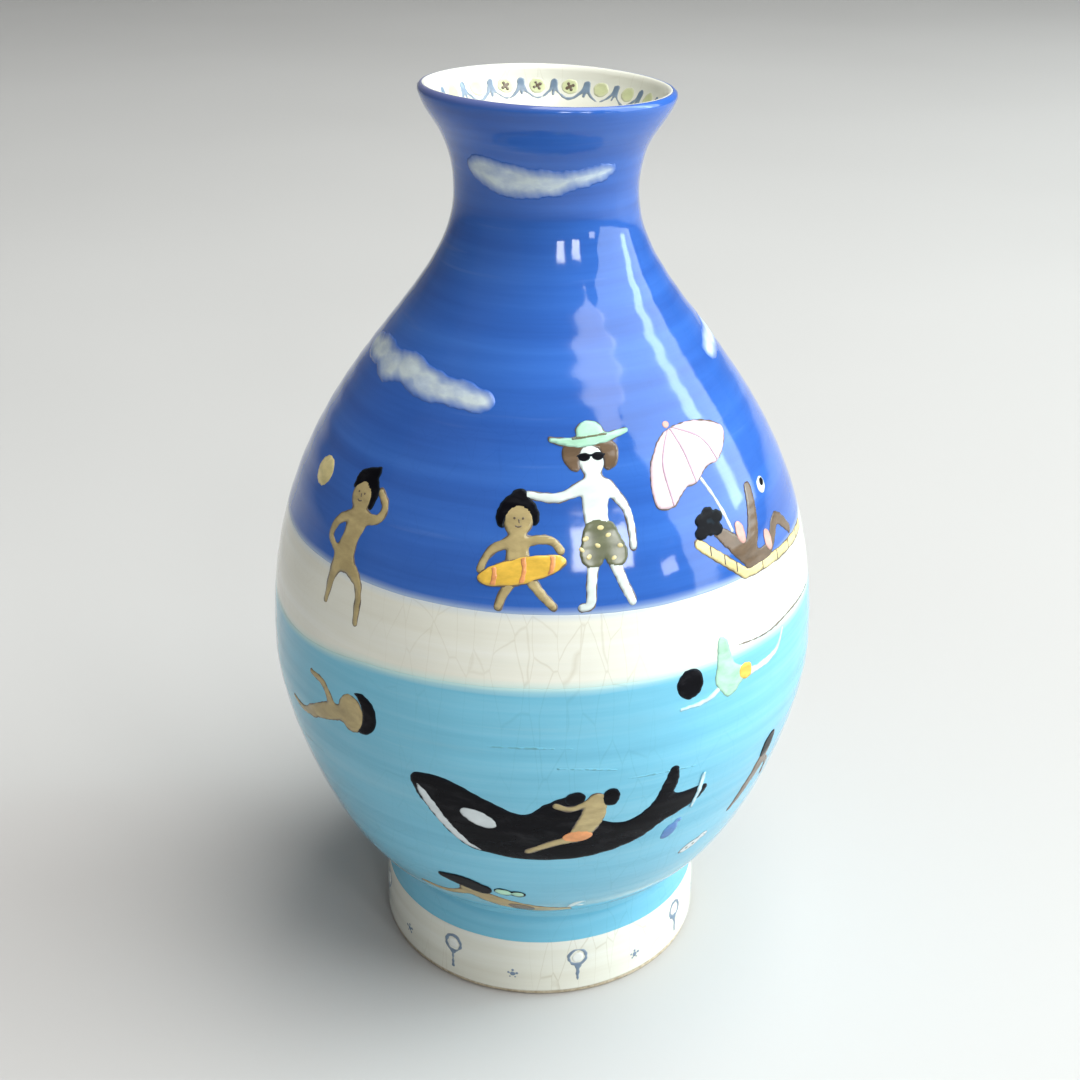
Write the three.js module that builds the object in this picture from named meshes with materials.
// A wheel-thrown sake bottle: a stoneware wall with an attached foot ring, both coated with bands
// of coloured glaze. Millimetres, +Z up, origin at the centre of the foot that it stands on.
import * as THREE from "three";

// Driving dimensions of the glazed surface. Each station has its radius r at height z, and how
// far the outline's handles reach from it: up and down, or sideways (out, in) where they slant.
const HEIGHT = 143;
const foot = { r: 27.8, z: 0, up: 16.8 };
const waist = { r: 25.6, z: 17, down: 2, up: 1.2, out: 9.2 };
const belly = { r: 44, z: 56.4, down: 10.6, up: 42.8 };
const neck = { r: 13.9, z: 128, down: 17.5, up: 8.5 };
const lip = { r: 18.9, round: 1.2, down: 4.3, in: 1.1 }; // the crest is a half round, 2.4 thick
const bellyWall = { thick: 3.8, up: 40.5, down: 20 };
const neckWall = { thick: 3.2, down: 18.5 };
const floor = { r: 12, z: 15.5, out: 12.5 }; // the flat inside the bottle
const base = { r: 20, z: 10 }; // the flat underside of the wall, up inside the foot ring

// Heights where one glaze ends and the next starts.
const BARE_RIM_Z = 0.8; // below this the foot ring is bare clay
const FOOT_TOP_Z = 10.9;
const SEA_TOP_Z = 70;
const BEACH_TOP_Z = 80.3;

const GLAZE = 0.4; // thickness of a coat
const GAP = 0.3; // clearance between a coat and what it covers, and between two coats
const CLAY = GLAZE + GAP; // depth of the clay below the glazed surface

const LIP_SLOPE = -0.026; // the hand-thrown lip is lower towards +X: rise over run
const TURNS = 40; // facets round the bottle
const NEAR = 1e-5; // as a share of the outline's length

// The glazed surface as one path, in the plane of radius and height: up the outside, over the
// lip, down the inside and across the floor to the axis. The wall is always on the path's left.
const LIP = 4; // the lip's place in the path's list of curves
const facets = [4, 7, 10, 4, 4, 3, 7, 6, 1]; // straight steps that stand for each curve
const crestZ = HEIGHT - lip.round;
const insideLip = lip.r - 2 * lip.round;
const insideNeck = neck.r - neckWall.thick;
const insideBelly = belly.r - bellyWall.thick;

function glazedSurface() {
  const path = new THREE.Path();
  const curve = path.bezierCurveTo.bind(path);
  path.moveTo(foot.r, foot.z);
  curve(foot.r, foot.up, waist.r, waist.z - waist.down, waist.r, waist.z);
  curve(waist.r + waist.out, waist.z + waist.up, belly.r, belly.z - belly.down, belly.r, belly.z);
  curve(belly.r, belly.z + belly.up, neck.r, neck.z - neck.down, neck.r, neck.z);
  curve(neck.r, neck.z + neck.up, lip.r - lip.in, crestZ - lip.down, lip.r, crestZ);
  path.absarc(lip.r - lip.round, crestZ, lip.round, 0, Math.PI, false);
  curve(insideLip - lip.in, crestZ - lip.down, insideNeck, neck.z + neck.up, insideNeck, neck.z);
  curve(insideNeck, neck.z - neckWall.down, insideBelly, belly.z + bellyWall.up, insideBelly, belly.z);
  curve(insideBelly, belly.z - bellyWall.down, floor.r + floor.out, floor.z, floor.r, floor.z);
  path.lineTo(0, floor.z);
  return path;
}

// Where each curve of the path ends, as a share of the path's whole length.
const skin = glazedSurface();
const total = skin.getLength();
const ends = skin.getCurveLengths().map((length) => length / total);
const outsideEnd = ends[LIP - 1];
const crest = (ends[LIP - 1] + ends[LIP]) / 2;
const half = GAP / 2 / total; // half the clearance between two coats

// The share of the path at which the outside reaches a height.
function outsideAt(z) {
  let low = 0;
  let high = outsideEnd;
  while (high - low > NEAR) {
    const middle = (low + high) / 2;
    if (skin.getPoint(middle).y < z) low = middle;
    else high = middle;
  }
  return (low + high) / 2;
}

// The path's normal into the wall, from one share to a later one.
function normal(from, to) {
  const ahead = skin.getPoint(Math.min(1, to)).sub(skin.getPoint(Math.max(0, from))).normalize();
  return point(-ahead.y, ahead.x);
}

// Points along the path from one share to another, moved into the wall by a depth and mitred
// where two curves meet in a corner. A step of a curve that would leave a sliver beside either
// end is left out.
function along(from, to, depth) {
  const sliver = 2 * half;
  const steps = facets.flatMap((count, i) => {
    const start = i > 0 ? ends[i - 1] : 0;
    return Array.from({ length: count }, (_, k) => start + ((ends[i] - start) * k) / count);
  });
  const between = steps.filter((share) => share > from + sliver && share < to - sliver);
  return [from, ...between, to].map((share) => {
    const before = normal(share - NEAR, share);
    const after = normal(share, share + NEAR);
    const mitre = depth / (1 + before.dot(after));
    const at = skin.getPoint(share).addScaledVector(before.add(after), mitre);
    return point(Math.max(0, at.x), at.y);
  });
}

function point(radius, height) {
  return new THREE.Vector2(radius, height);
}

// An outline turned about the Z axis, then leaned with the lip above the neck. It runs
// counterclockwise in the plane of radius and height, and is closed here unless it starts and
// ends on the axis.
function turned(name, outline, material) {
  const onAxis = outline[0].x === 0;
  const loop = onAxis ? outline : [...outline, outline[0].clone()];
  const geometry = new THREE.LatheGeometry(loop, TURNS).rotateX(Math.PI / 2);
  const position = geometry.getAttribute("position");
  for (let i = 0; i < position.count; i++) {
    const height = position.getZ(i);
    const share = THREE.MathUtils.smoothstep(height, neck.z, HEIGHT);
    position.setZ(i, height + LIP_SLOPE * position.getX(i) * share);
  }
  const mesh = new THREE.Mesh(geometry, material);
  mesh.name = name;
  return mesh;
}

// A coat of glaze over a stretch of the path.
function coat(name, from, to, material) {
  const under = along(from, to, GLAZE).reverse();
  return turned(name, [...under, ...along(from, to, 0)], material);
}

function finish(color, roughness) {
  return new THREE.MeshStandardMaterial({ color, roughness, metalness: 0 });
}

const clay = finish("#d9cfb4", 0.8);
const ivory = finish("#ece8d2", 0.08);
const turquoise = finish("#7cc4d8", 0.08);
const blue = finish("#2f62b4", 0.08);

// The wall starts at the waist, the corner where the foot ring is luted under it. Its underside
// slopes in from there to the base: the seat of the ring.
const wall = along(ends[0], 1, CLAY);
const seat = [wall[0], point(base.r, base.z)];

function clayBody() {
  return turned("clay_body", [point(0, base.z), seat[1], ...wall], clay);
}

function footRing() {
  const chamfer = 0.6;
  const inside = 22.3;
  const drop = 2 * GAP; // straight down, which is about the gap across the slope
  const side = along(outsideAt(BARE_RIM_Z), outsideAt(waist.z - drop), CLAY);
  const top = seat.map((corner) => point(corner.x, corner.y - drop));
  const rim = [point(inside, chamfer), point(inside + chamfer, 0), point(side[0].x - chamfer, 0)];
  return turned("foot_ring", [...rim, ...side, ...top], clay);
}

// The hollow under the bottle: glaze on the wall's underside and down the inside of the ring.
function recessGlaze() {
  const top = base.z - GAP;
  const corner = base.r - 2 * GAP;
  const low = { r: 21.9, z: 1.4 };
  const under = [point(0, top - GLAZE), point(corner - GLAZE, top - GLAZE), point(low.r - GLAZE, low.z)];
  const against = [point(low.r, low.z), point(corner, top), point(0, top)];
  return turned("recess_glaze", [...under, ...against], ivory);
}

const footTop = outsideAt(FOOT_TOP_Z);
const seaTop = outsideAt(SEA_TOP_Z);
const beachTop = outsideAt(BEACH_TOP_Z);

const bottle = new THREE.Group();
bottle.add(
  clayBody(),
  footRing(),
  coat("foot_glaze", outsideAt(BARE_RIM_Z), footTop - half, ivory),
  coat("sea_glaze", footTop + half, seaTop - half, turquoise),
  coat("beach_glaze", seaTop + half, beachTop - half, ivory),
  coat("sky_glaze", beachTop + half, crest - half, blue),
  coat("inner_glaze", crest + half, 1, ivory),
  recessGlaze(),
);

export default bottle;
